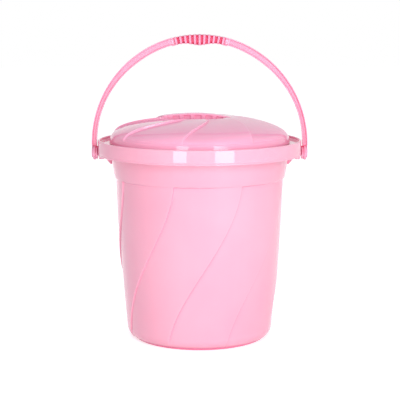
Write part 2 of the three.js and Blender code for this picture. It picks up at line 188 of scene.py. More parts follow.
def skin(rings: Sequence[Ring]) -> tuple[np.ndarray, list[tuple[int, ...]]]:
    """Joins rings of equal length into one closed skin.

    Args:
        rings: Rings of points; a ring of one point closes an end.

    Returns:
        The points in millimetres and the faces.
    """
    points = np.concatenate(rings)
    starts = np.cumsum([0] + [len(ring) for ring in rings])
    faces: list[tuple[int, ...]] = []
    for low, high, a, d in zip(rings, rings[1:], starts, starts[1:]):
        count = max(len(low), len(high))
        for j in range(count):
            k = (j + 1) % count
            if len(low) == 1:
                faces.append((a, d + k, d + j))
            elif len(high) == 1:
                faces.append((a + j, a + k, d))
            else:
                faces.append((a + j, a + k, d + k, d + j))
    return points, faces


def capped(rings: Sequence[Ring]) -> list[Ring]:
    """Rings with the middle of the first and last ring added, which close the two ends."""
    first, last = (ring.mean(axis=0)[None, :] for ring in (rings[0], rings[-1]))
    return [first, *rings, last]


def linked(name: str, data: bpy.types.ID) -> Solid:
    """New object over a mesh, lamp or camera, linked to the scene."""
    made = bpy.data.objects.new(name, data)
    bpy.context.scene.collection.objects.link(made)
    return made


def solid_piece(name: str, rings: Sequence[Ring]) -> Solid:
    """Makes one closed mesh object from rings, facing out.

    Args:
        name: The object's name.
        rings: Rings of points in millimetres.

    Returns:
        The new object, linked to the scene.
    """
    points, faces = skin(rings)
    mesh = bpy.data.meshes.new(name)
    mesh.from_pydata((points * MM).tolist(), [], faces)
    mesh.validate()
    if signed_volume(mesh) < 0:
        mesh.flip_normals()
    return linked(name, mesh)


def signed_volume(mesh: bpy.types.Mesh) -> float:
    """Measures the volume inside a closed mesh.

    Args:
        mesh: The mesh, in metres.

    Returns:
        The volume, below zero where the faces point inwards.
    """
    mesh.calc_loop_triangles()
    corners = np.array([v.co for v in mesh.vertices])
    triangles = np.array([t.vertices for t in mesh.loop_triangles])
    a, b, c = (corners[triangles[:, i]] for i in range(3))
    return float(np.einsum("ij,ij->i", a, np.cross(b, c)).sum() / 6)


def shape_with(piece: Solid, tool: Solid, work: Work) -> None:
    """Joins a tool solid to a piece or cuts it away, and removes the tool.

    Args:
        piece: The piece that is changed.
        tool: The closed solid that is used up.
        work: Whether the tool is joined or cut away.
    """
    modifier = piece.modifiers.new("shape", "BOOLEAN")
    modifier.operation = work.value
    modifier.solver = "MANIFOLD"
    modifier.object = tool
    bpy.context.view_layer.update()
    graph = bpy.context.evaluated_depsgraph_get()
    shaped = bpy.data.meshes.new_from_object(piece.evaluated_get(graph))
    if not shaped.polygons:
        raise ValueError(f"{tool.name} left nothing of {piece.name}")
    piece.modifiers.clear()
    spent = [piece.data, tool.data]
    piece.data = shaped
    bpy.data.objects.remove(tool)
    for mesh in spent:
        bpy.data.meshes.remove(mesh)


def mirrored(piece: Solid) -> Solid:
    """Copies a piece to the other side of the YZ plane.

    Args:
        piece: The piece, which stays.

    Returns:
        The mirrored copy, facing out.
    """
    mesh = piece.data.copy()
    mesh.transform(Matrix.Scale(-1, 4, Vector((1, 0, 0))))
    mesh.flip_normals()
    return linked(piece.name + "_other", mesh)


def soften(piece: Solid, sharp_over: float) -> None:
    """Shades a piece smooth, but for edges that turn more than an angle in degrees."""
    piece.data.shade_smooth()
    piece.data.set_sharp_from_angle(angle=math.radians(sharp_over))


# Finishes


class NodeBoard:
    """The node tree of a material or world, with short ways to add to it."""

    def __init__(self, owner: bpy.types.Material | bpy.types.World) -> None:
        """Turns nodes on and takes the owner's tree."""
        owner.use_nodes = True
        self.tree = owner.node_tree

    def feed(self, node: bpy.types.Node, inputs: dict[str | int, object]) -> None:
        """Sets a node's inputs.

        Args:
            node: The node.
            inputs: A value to set or a socket to link, by input name or number.
        """
        for key, value in inputs.items():
            if isinstance(value, Socket):
                self.tree.links.new(value, node.inputs[key])
            else:
                node.inputs[key].default_value = value

    def add(
        self, kind: str, inputs: dict[str | int, object], out: str | int = 0, **settings: object
    ) -> Socket:
        """Adds a node.

        Args:
            kind: The node's type, without ShaderNode in front.
            inputs: What its inputs are fed with.
            out: The output that is wanted.
            settings: The node's own settings.

        Returns:
            The wanted output.
        """
        node = self.tree.nodes.new("ShaderNode" + kind)
        for name, value in settings.items():
            setattr(node, name, value)
        self.feed(node, inputs)
        return node.outputs[out]

    def noise(self, place: Socket, scale: float, detail: float) -> Socket:
        """Noise over a place, round a half."""
        return self.add("TexNoise", {"Vector": place, "Scale": scale, "Detail": detail}, "Fac")

    def spread(
        self, value: Socket, span: tuple[float, float], onto: tuple[float, float]
    ) -> Socket:
        """Value moved from one span onto another, and held inside it."""
        names = ("From Min", "From Max", "To Min", "To Max")
        return self.add("MapRange", {"Value": value, **dict(zip(names, span + onto))}, "Result")

    def blend(self, share: Socket, low: Socket | Point, high: Point) -> Socket:
        """Colour that goes from low to high with a share."""
        first = low if isinstance(low, Socket) else (*low, 1.0)
        return self.add("Mix", {0: share, 6: first, 7: (*high, 1.0)}, 2, data_type="RGBA")

    def seen_rays(self) -> Socket:
        """Socket that is 1 for rays that show a surface: camera, glossy and transmission rays."""
        total = self.add("LightPath", {}, "Is Camera Ray")
        others = [total.node.outputs[f"Is {kind} Ray"] for kind in ("Glossy", "Transmission")]
        for other in others:
            total = self.add("Math", {0: total, 1: other}, operation="MAXIMUM")
        return total


@dataclass(frozen=True)
class GlossyPlastic:
    """Glossy moulded polypropylene with the small flaws of a real moulding, plus painted shade in
    hollows and a painted highlight on sharp edges.

    Attributes:
        name: The material's name.
        pink: Main colour, linear.
        deep: Darker colour, used for the random darker tone and for the painted shade in hollows,
            linear.
        pale: Colour of the painted highlight on sharp convex edges, linear.
        edge_highlight_share: How far those edges take that painted highlight.
        roughness: Middle of the roughness.
        streak_axis: Scale of the faint flow streaks along X, Y and Z; they run along the least.
        hollow_shade_from: Openness below which painted shade starts to darken a hollow.
        hollow_shade_to: Openness at which that painted shade is full.
        hollow_shade_share: How far the painted shade in a hollow takes the deep colour.
    """

    name: str
    pink: Point
    deep: Point
    pale: Point
    edge_highlight_share: float = 0.45
    roughness: float = 0.05
    streak_axis: Point = (26.0, 26.0, 2.0)
    hollow_shade_from: float = 0.75
    hollow_shade_to: float = 0.2
    hollow_shade_share: float = 0.6

    def material(self) -> bpy.types.Material:
        """Builds the node material."""
        made = bpy.data.materials.new(self.name)
        board = NodeBoard(made)
        place = board.add("TexCoord", {}, "Object")
        shader = board.tree.nodes["Principled BSDF"]
        board.feed(shader, {
            "Base Color": self.colour(board, place),
            "Roughness": self.smears(board, place),
            "Normal": self.waves(board, place),
            "IOR": 1.46,
            "Subsurface Weight": 0.12,
            "Subsurface Radius": (1.0, 0.45, 0.6),
            "Subsurface Scale": 0.0025,
        })
        return made

    def colour(self, board: NodeBoard, place: Socket) -> Socket:
        """Pink with flow streaks and clouds, with painted shade in hollows and a painted highlight
        on sharp convex edges.

        Args:
            board: The material's nodes.
            place: Object coordinates.

        Returns:
            The colour.
        """
        flow = board.add("Mapping", {"Vector": place, "Scale": self.streak_axis})
        streaks = board.noise(flow, scale=1.0, detail=3.0)
        clouds = board.noise(place, scale=9.0, detail=2.0)
        tone = board.add("Math", {0: streaks, 1: 0.35, 2: clouds}, operation="MULTIPLY_ADD")
        uneven = board.spread(tone, span=(0.55, 0.95), onto=(0.0, 0.16))
        # Painted shade: hollows found by ambient occlusion are darkened towards the deep colour.
        open_air = board.add("AmbientOcclusion", {"Distance": 0.007}, "AO", samples=12)
        hollow = board.spread(
            open_air, span=(self.hollow_shade_from, self.hollow_shade_to), onto=(0.0, self.hollow_shade_share)
        )
        # Painted highlight: sharp convex edges found by pointiness are lightened towards the pale
        # colour.
        edge = board.add("NewGeometry", {}, "Pointiness")
        edge_highlight = board.spread(edge, span=(0.52, 0.62), onto=(0.0, self.edge_highlight_share))
        body = board.blend(uneven, self.pink, self.deep)
        return board.blend(edge_highlight, board.blend(hollow, body, self.deep), self.pale)

    def smears(self, board: NodeBoard, place: Socket) -> Socket:
        """Roughness that wanders a little round its middle."""
        wander = (self.roughness * 0.85, self.roughness * 1.2)
        return board.spread(board.noise(place, scale=38.0, detail=4.0), (0.3, 0.7), wander)

    def waves(self, board: NodeBoard, place: Socket) -> Socket:
        """Normal with the slow waves and the fine grain of a moulded skin.

        Args:
            board: The material's nodes.
            place: Object coordinates.

        Returns:
            The normal.
        """
        wave = board.noise(place, scale=16.0, detail=1.0)
        grain = board.noise(place, scale=700.0, detail=2.0)
        slow = board.add("Bump", {"Height": wave, "Distance": 0.0006, "Strength": 0.22})
        fine = {"Height": grain, "Distance": 0.00002, "Strength": 0.12, "Normal": slow}
        return board.add("Bump", fine)


# Swirled surfaces


@dataclass(frozen=True)
class SwirlPattern:
    """Panels whose edges step down at turning lines.

    Attributes:
        panels: How many panels go round.
        line_share: Width of a step as a share of a panel.
        panel_columns: Mesh columns across a panel.
        step_columns: Mesh columns across a step.
        rise_late: Over 1, a panel rises more towards its high edge.
    """

    panels: int = 8
    line_share: float = 0.013
    panel_columns: int = 24
    step_columns: int = 6
    rise_late: float = 1.6

    def lift(self, across: np.ndarray) -> np.ndarray:
        """Finds how far the surface stands out.

        Args:
            across: Places counted in panels.

        Returns:
            The lift there, from 0 to 1.
        """
        inside = across - np.floor(across)
        step = 1.0 - ease(inside / self.line_share)
        risen = np.clip((inside - self.line_share) / (1.0 - self.line_share), 0.0, 1.0)
        panel = risen**self.rise_late
        return np.where(inside < self.line_share, step, panel)

    def columns(self) -> np.ndarray:
        """Places of the mesh columns all the way round, counted in panels."""
        steps = np.linspace(0, self.line_share, self.step_columns, endpoint=False)
        wide = np.linspace(self.line_share, 1, self.panel_columns, endpoint=False)
        one = np.concatenate([steps, wide])
        return np.concatenate([one + panel for panel in range(self.panels)])

    def ring(
        self,
        twist: float,
        radius: float,
        height: float,
        swell: float = 0.0,
        rise: float = 0.0,
        middle: float = 0.0,
    ) -> Ring:
        """One ring of the surface.

        Args:
            twist: Angle of the first line in degrees.
            radius: Radius at the foot of a step.
            height: Height of the ring.
            swell: How far a full lift moves a point outwards.
            rise: How far a full lift moves a point upwards.
            middle: The lift that leaves a point where it is.

        Returns:
            The ring's points.
        """
        places = self.columns()
        angles = np.radians(twist + places * 360.0 / self.panels)
        lift = self.lift(places)
        reach = radius + swell * (lift - middle)
        level = height + rise * (lift - middle)
        return np.stack([reach * np.sin(angles), -reach * np.cos(angles), level], axis=1)


LIFT_MIDDLE = 0.4  # the lift at which the dome's petals stand on the plain dome


@dataclass
class SwirlBucket:
    """The bucket: swirled body, neck, lid ledge, hanging rim band, foot and the two ears."""

    height: float = 294.0
    rim_radius: float = 150.0
    band_height: float = 21.5
    band_reach: float = 17.5
    lip_height: float = 1.7
    groove_depth: float = 0.35
    groove_height: float = 2.2
    groove_top: float = 4.2
    ridge_width: float = 3.2
    ridge_height: float = 4.0
    wall: float = 2.0
    neck_height: float = 55.0
    neck_flare: float = 6.0
    neck_step: float = 2.5
    neck_rows: int = 9
    neck_curve: float = 1.6
    shoulder_drop: float = 1.1
    shoulder_rise: float = 0.6
    bottom_radius: float = 106.3
    bow: float = 2.0
    body_rows: int = 56
    corner_reach: float = 9.0
    corner_rise: float = 15.0
    outer_turns: Sequence[int] = range(12, 90, 8)
    inner_turns: Sequence[int] = range(75, 0, -15)
    foot_inset: float = 0.6
    foot_width: float = 6.0
    foot_height: float = 2.5
    base_rise: float = 1.5
    base_flat: float = 40.0
    base_bend: float = 0.9
    relief: float = 1.8
    swirl_bottom: float = -25.0
    swirl_turn: float = 53.0
    swirl_ease: float = 0.8
    swirl_early: float = 0.94
    pivot_drop: float = 19.5
    ear_half_width: float = 10.5
    ear_back: float = 8.5
    ear_front: float = 1.4
    ear_root: float = 0.8
    web_thickness: float = 2.0
    web_spread: float = 8.5
    web_drop: float = 5.5
    web_step: float = 9.0
    web_root: float = 1.1
    web_top_root: float = 0.9
    web_toe: float = 1.8
    web_nose: float = 3.5
    web_bevel: float = 0.3
    bore_radius: float = 4.45
    bore_lip: float = 0.5
    edge_round: float = 0.5
    pattern: SwirlPattern = field(default_factory=SwirlPattern)

    @property
    def neck_line(self) -> float:
        """Height where the body meets the neck."""
        return self.height - self.neck_height

    @property
    def neck_top_radius(self) -> float:
        """Radius of the neck under the rim."""
        return self.rim_radius - self.band_reach

    @property
    def neck_foot_radius(self) -> float:
        """Radius of the neck at the neck line."""
        return self.neck_top_radius - self.neck_flare

    @property
    def ledge_top(self) -> float:
        """Height of the ledge that carries the lid."""
        return self.height - self.ridge_height

    @property
    def ledge_inner_radius(self) -> float:
        """Inner edge of that ledge."""
        return self.neck_top_radius - self.wall - 0.6

    @property
    def band_bottom(self) -> float:
        """Lower edge of the rim band."""
        return self.height - self.band_height

    @property
    def pivot_height(self) -> float:
        """Height of the handle's axis."""
        return self.height - self.pivot_drop

    def body_radius(self, z: float) -> float:
        """Radius of the body at the foot of a step."""
        rise = z / self.neck_line
        straight = mix(self.bottom_radius, self.neck_foot_radius - self.neck_step, rise)
        return straight + 4 * self.bow * rise * (1 - rise)

    def neck_radius(self, z: float) -> float:
        """Radius of the neck."""
        rise = float(np.clip((z - self.neck_line) / (self.ledge_top - self.neck_line), 0, 1))
        return self.neck_foot_radius + self.neck_flare * (1 - (1 - rise) ** self.neck_curve)

    def swirl_angle(self, z: float) -> float:
        """Angle of the first line at a height."""
        rise = float(np.clip(z / self.neck_line, 0, 1)) ** self.swirl_early
        return self.swirl_bottom + self.swirl_turn * mix(rise, float(ease(rise)), self.swirl_ease)

    def section(self) -> np.ndarray:
        """The bucket's section, up the outside and down the inside.

        Returns:
            Rows of radius, height and relief.
        """
        corner_top = self.foot_height + self.corner_rise
        corner_radius = self.body_radius(corner_top)
        foot_radius = corner_radius - self.corner_reach - self.foot_inset
        foot_inner = foot_radius - self.foot_width
        floor = self.foot_height + self.wall
        edge = self.edge_round
        outside = [
            Corner(foot_inner - 1, self.foot_height, edge),
            Corner(foot_inner, 0, edge),
            Corner(foot_radius, 0, edge),
            Corner(foot_radius + self.foot_inset, self.foot_height, 0.3),
        ]
        for turn in self.outer_turns:
            across = self.corner_reach * (1 - math.sin(math.radians(turn)))
            lift = self.corner_rise * (1 - math.cos(math.radians(turn)))
            outside.append(
                Corner(corner_radius - across, self.foot_height + lift, 0, turn / 90)
            )
        heights = np.linspace(corner_top, self.neck_line - 2.4, self.body_rows)
        outside += [Corner(self.body_radius(z), z, 0, 1) for z in heights]
        shoulder = self.neck_line - self.shoulder_drop
        outside += [
            Corner(self.body_radius(shoulder), shoulder, edge, 1),
            Corner(self.neck_foot_radius - 0.2, self.neck_line + self.shoulder_rise, 0.7),
        ]
        neck_heights = np.linspace(
            self.neck_line + 2.5, self.ledge_top - self.wall - 4, self.neck_rows
        )
        outside += [Corner(self.neck_radius(z), z) for z in neck_heights]
        rim, wall = self.rim_radius, self.wall
        outside += [
            Corner(self.neck_top_radius, self.ledge_top - wall, 1.6),
            Corner(rim - wall, self.ledge_top - wall, 1.6),
            Corner(rim - wall, self.band_bottom, 0.6),
            Corner(rim, self.band_bottom, 0.6),
            Corner(rim, self.band_bottom + self.lip_height, 0.3),
            Corner(rim - self.groove_depth, self.band_bottom + self.groove_height, 0.3),
            Corner(rim, self.band_bottom + self.groove_top, 0.6),
            Corner(rim, self.height, 1.7),
            Corner(rim - self.ridge_width, self.height, 0.9),
            Corner(rim - self.ridge_width - 0.4, self.ledge_top, 0.8),
            Corner(self.ledge_inner_radius, self.ledge_top - 0.4, 1.2),
        ]
        inside = [Corner(self.neck_radius(z) - wall, z) for z in neck_heights[::-3]]
        inside.append(Corner(self.neck_foot_radius - wall, self.neck_line + 1.6, edge))
        inside += [Corner(self.body_radius(z) - wall, z, 0, 1) for z in heights[::-4]]
        for turn in self.inner_turns:
            across = (self.corner_reach - wall / 2) * (1 - math.sin(math.radians(turn)))
            lift = (self.corner_rise - wall) * (1 - math.cos(math.radians(turn)))
            inside.append(Corner(corner_radius - wall - across, floor + lift, 0, turn / 90))
        inside += [
            Corner(foot_inner, floor, 0.5),
            Corner(self.base_flat, floor + self.base_bend),
        ]
        start = [Corner(self.base_flat, self.foot_height + self.base_bend)]
        return rounded_section([*start, *outside, *inside], longest=14.0)

    def shell(self) -> Solid:
        """The moulded shell without its ears."""
        rings: list[Ring] = [np.array([[0, 0, self.foot_height + self.base_rise]])]
        for radius, z, relief in self.section():
            swell = self.relief * relief
            rings.append(self.pattern.ring(self.swirl_angle(z), radius, z, swell=swell))
        rings.append(np.array([[0, 0, self.foot_height + self.wall + self.base_rise]]))
        return solid_piece("moulded_bucket", rings)

    def ear_plate(self) -> Solid:
        """The plate behind the band that holds the pin, on the +X side."""
        half, pivot = self.ear_half_width, self.pivot_height
        top = self.ledge_top - self.wall + self.ear_root
        turns = np.radians(np.linspace(180, 360, 25))
        outline = [(half * math.cos(t), pivot + half * math.sin(t)) for t in turns]
        outline += [(half, top), (-half, top)]
        back, front = self.rim_radius - self.ear_back, self.rim_radius - self.ear_front
        return bevelled("ear_plate", outline, (back, front), self.edge_round, along_x)

    def web(self, side: Side) -> Solid:
        """Builds one stepped web that ties the plate back to the neck.

        Args:
            side: Which side of the pin it stands on.

        Returns:
            The closed solid.
        """
        top = self.ledge_top - self.wall + self.ear_root
        back = self.rim_radius - self.ear_back + 1
        step = self.band_bottom - self.web_drop
        foot = step - self.web_step
        outline = [
            (self.neck_radius(foot) - self.web_root, foot),
            (self.neck_radius(foot) + self.web_toe, foot),
            (back - self.web_nose, step),
            (back, step),
            (back, top),
            (self.neck_radius(top) - self.web_top_root, top),
        ]
        middle = side.value * self.web_spread
        half = self.web_thickness / 2
        ends = (middle - half, middle + half)
        return bevelled("ear_web", outline, ends, self.web_bevel, along_y)

    def ear(self) -> Solid:
        """The whole ear on the +X side."""
        ear = self.ear_plate()
        for side in Side:
            shape_with(ear, self.web(side), Work.JOIN)
        return ear

    def bore(self) -> Solid:
        """The hole for the pin, on the +X side."""
        inner, outer = self.rim_radius - self.ear_back - 1, self.rim_radius + 1
        lip = self.bore_lip
        profile = [
            (0.0, inner),
            (self.bore_radius, inner),
            (self.bore_radius, self.rim_radius - lip),
            (self.bore_radius + lip, self.rim_radius + 0.02),
            (self.bore_radius + lip, outer),
            (0.0, outer),
        ]
        return turned_across_x("bore", profile, self.pivot_height)

    def build(self) -> Solid:
        """Builds the finished bucket mesh."""
        bucket = self.shell()
        ear, bore = self.ear(), self.bore()
        for tool, work in ((ear, Work.JOIN), (bore, Work.CUT)):
            shape_with(bucket, mirrored(tool), work)
            shape_with(bucket, tool, work)
        soften(bucket, sharp_over=32)
        return bucket


def prism(
    name: str,
    outline: Outline,
    levels: Outline,
    place: Callable[[float, float, float], Point],
) -> Solid:
    """Builds a prism whose outline may grow or shrink along it.

    Args:
        name: The object's name.
        outline: Corners of the flat outline, convex or nearly so.
        levels: Pairs of level along the prism and inset of the outline there.
        place: Turns outline across, outline up and level into a point.

    Returns:
        The closed solid.
    """
    corners = np.array(outline)
    following = np.roll(corners, -1, axis=0)
    ahead = following - corners
    ahead /= np.linalg.norm(ahead, axis=1)[:, None]
    both = ahead + np.roll(ahead, 1, axis=0)
    area = np.sum(corners[:, 0] * following[:, 1] - following[:, 0] * corners[:, 1])
    inward = np.stack([-both[:, 1], both[:, 0]], axis=1) * np.sign(area)
    length = np.linalg.norm(inward, axis=1)[:, None]
    reach = inward / length / np.clip(length / 2, 0.4, 1)
    rings = [
        np.array([place(across, up, level) for across, up in corners + reach * inset])
        for level, inset in levels
    ]
    return solid_piece(name, capped(rings))


def along_x(across: float, up: float, level: float) -> Point:
    """Point of a prism that runs along X."""
    return level, across, up


def along_y(across: float, up: float, level: float) -> Point:
    """Point of a prism that runs along Y."""
    return across, level, up


def bevelled(
    name: str,
    outline: Outline,
    ends: tuple[float, float],
    bevel: float,
    place: Callable[[float, float, float], Point],
) -> Solid:
    """Builds a straight prism with bevelled ends.

    Args:
        name: The object's name.
        outline: Corners of the flat outline.
        ends: Levels of its two ends.
        bevel: Width of the bevels.
        place: Turns outline across, outline up and level into a point.

    Returns:
        The closed solid.
    """
    start, end = ends
    levels = [(start, bevel), (start + bevel, 0.0), (end - bevel, 0.0), (end, bevel)]
    return prism(name, outline, levels, place)


def turned_across_x(
    name: str, profile: Outline, axis_height: float, segments: int = 64
) -> Solid:
    """Builds a turned solid about a line along X.

    Args:
        name: The object's name.
        profile: Pairs of radius and x.
        axis_height: Height of the line.
        segments: Points round the line.

    Returns:
        The closed solid.
    """
    turns = np.linspace(0, 2 * math.pi, segments, endpoint=False)
    rings = []
    for radius, x in profile:
        if radius == 0:
            rings.append(np.array([[x, 0, axis_height]]))
            continue
        flat = [np.full(segments, x), radius * np.cos(turns), axis_height + radius * np.sin(turns)]
        rings.append(np.stack(flat, axis=1))
    return solid_piece(name, rings)


@dataclass
class PetalLid:
    """The loose lid: bead, collar, petalled dome, finger bar and its two wells."""

    bucket: SwirlBucket
    lift: float = 0.35
    play: float = 1.0
    bead_height: float = 9.8
    bead_lap: float = 2.5
    collar_depth: float = 11.0
    collar_taper: float = 0.6
    bead_round: float = 2.2
    bead_draft: float = 1.1
    dome_rise: float = 29.5
    dome_fullness: float = 0.56
    petal_relief: float = 3.0
    petal_start: float = -10.4
    petal_turn: float = 30.0
    petal_inner: float = 40.0
    petal_curl: float = 1.35
    petal_fade_in: float = 22.0
    petal_fade_out: float = 10.0
    petal_edge_loss: float = 0.6
    bar_half_width: float = 9.5
    bar_left: float = -55.0
    bar_right: float = 46.0
    bar_crest: float = 3.8
    bar_left_step: float = 3.4
    bar_right_step: float = 0.4
    bar_crest_place: float = 0.48
    bar_edge_round: float = 1.4
    bar_tip: float = 3.2
    bar_root: float = 20.0
    well_centre: float = -4.0
    well_half_length: float = 42.0
    well_reach: float = 32.0
    well_depth: float = 17.0
    well_belly: float = 0.72
    well_shoulder: float = 0.62
    well_blend: float = 3.0
    well_curve_steps: int = 28
    well_straight_steps: int = 24
    well_lip_round: float = 1.6
    well_floor_round: float = 3.0
    pockets: int = 5
    pocket_pitch: float = 16.0
    pocket_width: float = 10.0
    pocket_depth: float = 2.5
    pocket_wall: float = 1.8
    pocket_round: float = 0.8
    pocket_centre: float = -2.5
    bar_lip: float = 2.6
    pattern: SwirlPattern = field(default_factory=SwirlPattern)

    @property
    def bead_bottom(self) -> float:
        """Height of the bead's underside."""
        return self.bucket.ledge_top - 0.4 + self.lift

    @property
    def dome_edge_height(self) -> float:
        """Height where the dome starts."""
        return self.bead_bottom + self.bead_height

    @property
    def collar_radius(self) -> float:
        """Outside of the collar that drops into the neck."""
        return self.bucket.ledge_inner_radius - self.play

    @property
    def bead_radius(self) -> float:
        """Outside of the bead."""
        return self.bucket.neck_top_radius - self.bucket.wall + self.bead_lap

    @property
    def dome_edge_radius(self) -> float:
        """Radius where the dome starts."""
        return self.bead_radius - self.bead_round

    @property
    def crown_height(self) -> float:
        """Height of the dome's crown."""
        return self.dome_edge_height + self.dome_rise

    @property
    def well_floor(self) -> float:
        """Height of the wells' floor."""
        return self.crown_height - self.well_depth

    @property
    def foot_height(self) -> float:
        """Height of the collar's foot."""
        return self.bead_bottom - self.collar_depth

    def dome_height(self, radius: float, inset: float = 0.0) -> float:
        """Height of the plain dome, or of its skin set in, at a radius."""
        out = radius / (self.dome_edge_radius - inset)
        full = max(0.0, 1 - out * out) ** self.dome_fullness
        return self.dome_edge_height + (self.dome_rise - inset) * full

    def petal_angle(self, radius: float) -> float:
        """Angle of the first petal line at a radius."""
        span = self.dome_edge_radius - self.petal_inner
        inward = float(np.clip((self.dome_edge_radius - radius) / span, 0, 1))
        return self.petal_start + self.petal_turn * inward**self.petal_curl

    def petal_weight(self, radius: float) -> float:
        """Share of the petal relief at a radius."""
        inner = float(ease((radius - self.petal_inner) / self.petal_fade_in))
        near_edge = (radius - self.dome_edge_radius) / self.petal_fade_out + 1
        return inner * (1 - self.petal_edge_loss * float(ease(near_edge)))

    def dome_lean(self, radius: float) -> float:
        """Finds how far the dome's normal leans out.

        Args:
            radius: Distance from the lid's middle.

        Returns:
            The angle from upright, in radians.
        """
        step = 0.01
        inner = max(radius - step, 0.0)
        outer = min(inner + step, self.dome_edge_radius)
        return math.atan2(self.dome_height(inner) - self.dome_height(outer), step)

    def top_height(self, x: float, y: float) -> float:
        """Finds the height of the petalled dome over a point.

        Args:
            x: The point's x.
            y: The point's y.

        Returns:
            The height.
        """
        radius = math.hypot(x, y)
        angle = math.degrees(math.atan2(x, -y))
        across = (angle - self.petal_angle(radius)) / (360 / self.pattern.panels)
        lift = float(self.pattern.lift(np.array([across]))[0])
        rise = self.petal_relief * self.petal_weight(radius)
        return self.dome_height(radius) + rise * (lift - LIFT_MIDDLE)

    def bar_height(self, x: float) -> float:
        """Finds the height of the finger bar's top.

        Args:
            x: A place along the bar.

        Returns:
            The height.
        """
        middle = mix(self.bar_left, self.bar_right, self.bar_crest_place)
        left = x < middle
        end = self.bar_left if left else self.bar_right
        step = self.bar_left_step if left else self.bar_right_step
        end_height = self.dome_height(abs(end)) + step
        away = (x - middle) / (end - middle)
        return mix(self.crown_height + self.bar_crest, end_height, away**2)

    def dome(self, inset: float, steps: int) -> Solid:
        """Builds the dome filled down to the collar's foot.

        Args:
            inset: How far the skin is set in; 0 is the outside.
            steps: Rows from the dome's edge to its crown.

        Returns:
            The closed solid.
        """
        collar = self.collar_radius - self.collar_taper - inset
        edge = self.dome_edge_radius - inset
        if inset == 0:
            corners = [
                Corner(collar - 1.5, self.foot_height),
                Corner(collar, self.foot_height, 0.6),
                Corner(self.collar_radius, self.bead_bottom, 0.4),
                Corner(self.bead_radius, self.bead_bottom, 0.9),
                Corner(
                    self.bead_radius - self.bead_draft,
                    self.dome_edge_height - self.bead_round + 0.9,
                    0.7,
                ),
                Corner(edge + 0.4, self.dome_edge_height - 0.2, 0.5, 0.1),
                Corner(edge, self.dome_edge_height, 0, self.petal_weight(edge)),
            ]
        else:
            corners = [
                Corner(collar, self.foot_height - 1),
                Corner(self.collar_radius - inset, self.bead_bottom),
                Corner(edge, self.bead_bottom + inset + 1),
                Corner(edge, self.dome_edge_height, 0, self.petal_weight(edge)),
            ]
        rows = [tuple(row) for row in rounded_section(corners, longest=5.0)]
        for turn in np.radians(np.linspace(0, 90, steps + 1)[1:-1]):
            radius = edge * math.cos(turn)
            rows.append((radius, self.dome_height(radius, inset), self.petal_weight(radius)))
        rings = [np.array([[0, 0, rows[0][1]]])]
        for radius, z, relief in rows:
            lean = self.dome_lean(min(radius + inset, self.dome_edge_radius))
            swell, rise = (self.petal_relief * relief * f(lean) for f in (math.sin, math.cos))
            twist = self.petal_angle(radius)
            rings.append(self.pattern.ring(twist, radius, z, swell, rise, LIFT_MIDDLE))
        rings.append(np.array([[0, 0, self.crown_height - inset]]))
        return solid_piece("petal_lid", rings)

    def bar(self, inset: float, half_width: float) -> Solid:
        """Builds the finger bar, or its hollow where it is set in.

        Args:
            inset: How far the top and the ends are set in.
            half_width: Half the bar's width.

        Returns:
            The closed solid.
        """
        start, end = self.bar_left + inset, self.bar_right - inset
        foot = self.foot_height + self.bar_root
        corner, tip = self.bar_edge_round, self.bar_tip
        quarter = np.radians(np.linspace(0, 90, 6))
        near_tip = tip * (1 - np.cos(quarter))
        straight = np.linspace(start + tip, end - tip, 44)
        places = np.unique(
            np.concatenate([start + near_tip, straight, end - near_tip]).round(4)
        )
        rings = []
        for x in places:
            out = max(0.0, 1 - min(x - start, end - x) / tip)
            half = half_width - tip * (1 - math.sqrt(max(0.0, 1 - out * out)))
            top = self.bar_height(x) - inset
            arc = [
                (half - corner * (1 - math.cos(t)), top - corner * (1 - math.sin(t)))
                for t in quarter
            ]
            side = [(half, foot), (half, top - corner - HOLD), *arc, (half - corner - HOLD, top)]
            ring = side + [(-y, z) for y, z in reversed(side)]
            rings.append(np.array([(x, y, z) for y, z in ring]))
        return solid_piece("finger_bar", capped(rings))

    def well_outline(self, side: Side, growth: float, inner: float) -> np.ndarray:
        """Draws the plan of a finger well.

        Args:
            side: Behind the bar or in front of it.
            growth: How much the well is grown all round.
            inner: Where its straight side stands, from the middle of the bar.

        Returns:
            Rows of x, y, outward x, outward y and the share of the lip's round there.
        """
        reach = self.bar_half_width + self.well_reach + growth
        half = self.well_half_length + growth
        belly = mix(inner, reach, self.well_belly)
        shoulder = (-half * self.well_shoulder, reach)
        first = [(-half, inner), (-half, belly), shoulder, (0.0, reach)]
        second = [(-x, y) for x, y in reversed(first)]
        curve = [
            bezier_point(ends, t)
            for ends in (first, second)
            for t in np.linspace(0, 1, self.well_curve_steps, endpoint=False)
        ]
        curve.append((half, inner))
        along = np.linspace(half, -half, self.well_straight_steps)[1:-1]
        straight = [(x, inner) for x in along]
        plan = np.array(curve + straight)
        ahead = np.roll(plan, -1, axis=0) - np.roll(plan, 1, axis=0)
        ahead /= np.linalg.norm(ahead, axis=1)[:, None]
        outward = np.stack([-ahead[:, 1], ahead[:, 0]], axis=1)
        outward[len(curve):] = (0, -1)
        outward[0], outward[len(curve) - 1] = (-1, 0), (1, 0)
        share = ease((plan[:, 1] - inner) / self.well_blend)
        share[len(curve):] = 0
        plan[:, 0] += self.well_centre
        plan[:, 1] *= side.value
        outward[:, 1] *= side.value
        return np.column_stack([plan, outward, share])

